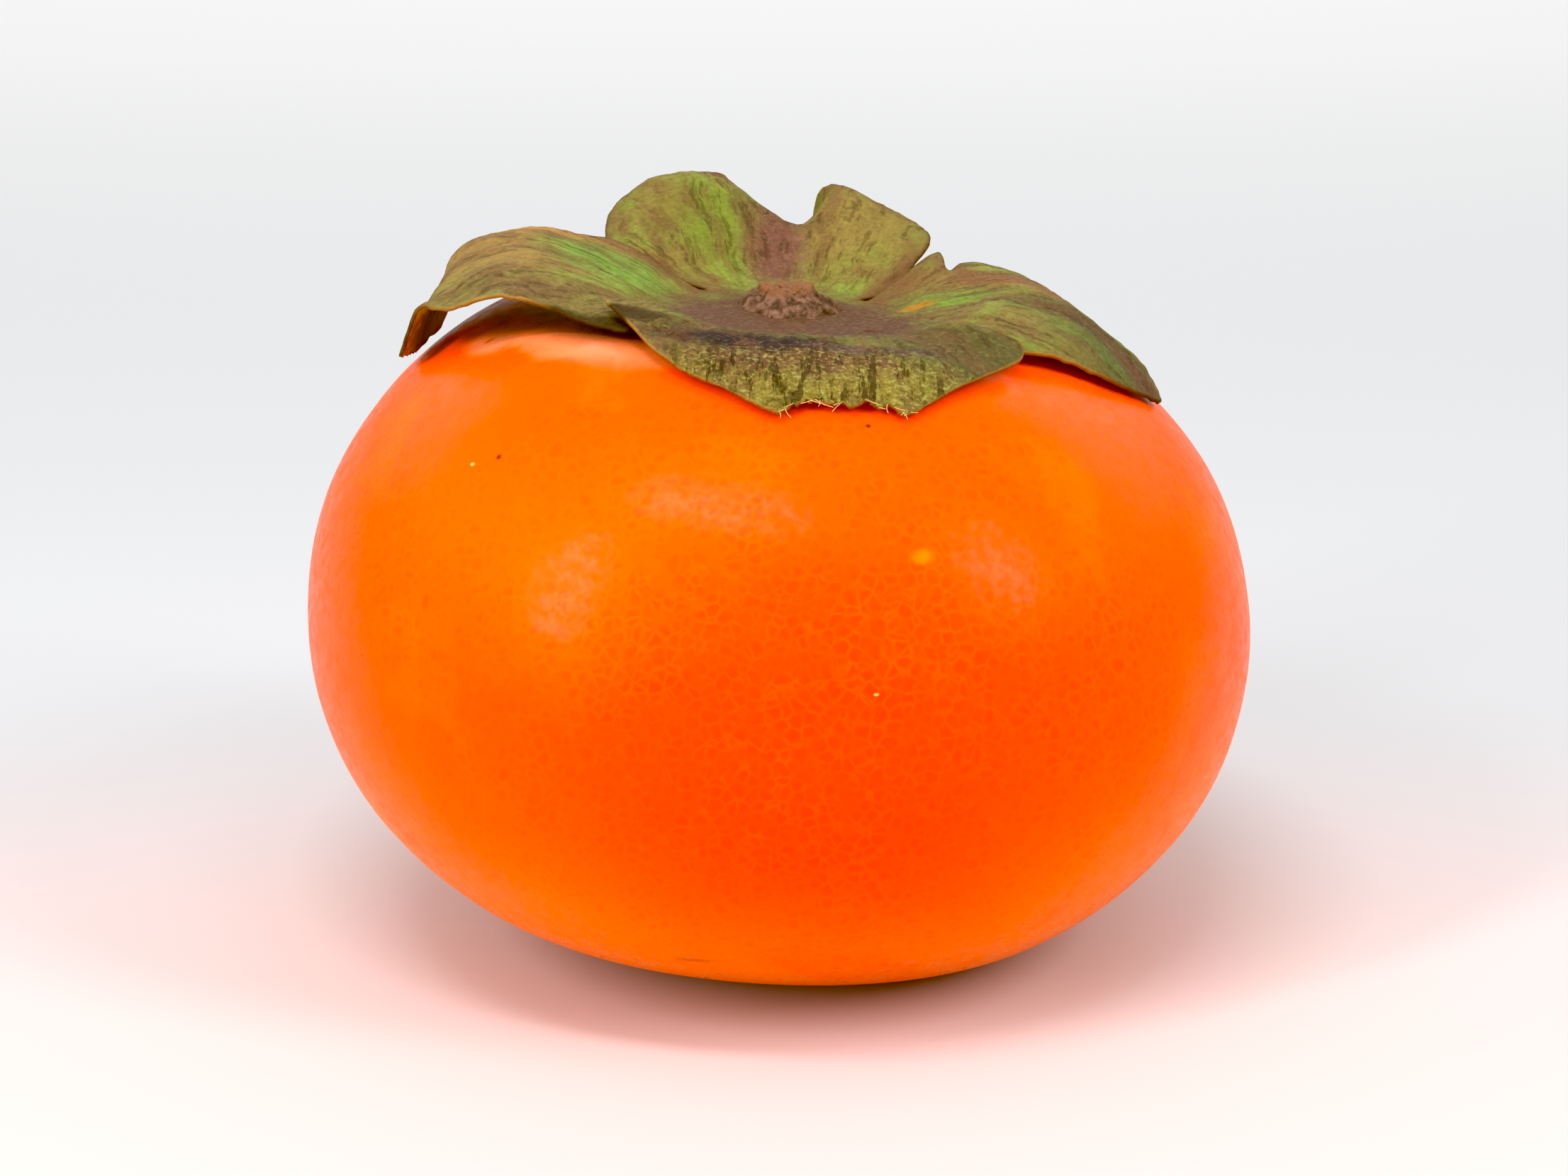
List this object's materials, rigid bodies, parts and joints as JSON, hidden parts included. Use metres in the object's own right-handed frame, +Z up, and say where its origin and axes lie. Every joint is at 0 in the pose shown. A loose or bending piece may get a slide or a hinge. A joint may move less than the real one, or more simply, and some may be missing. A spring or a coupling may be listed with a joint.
{
  "type": "persimmon",
  "caption": "Squat glossy orange persimmon with a curled four-lobed calyx and a broken stem stub, resting on its blossom end.",
  "frame": {"origin": "on the surface that the fruit rests on, below the middle of the fruit seen from above", "axes": "+Z up through the calyx, -Y the side that faces the camera in the picture, +X to the picture's right"},
  "size_m": [0.078, 0.078, 0.0601],
  "materials": {
    "skin": "glossy waxy orange fruit skin",
    "calyx": "dry leathery olive green with brown mottling",
    "stem": "rough dry broken stem, dark brown"
  },
  "bodies": {
    "root": {"fruit": "skin", "calyx": "calyx", "stem_stub": "stem"}
  },
  "joints": []
}
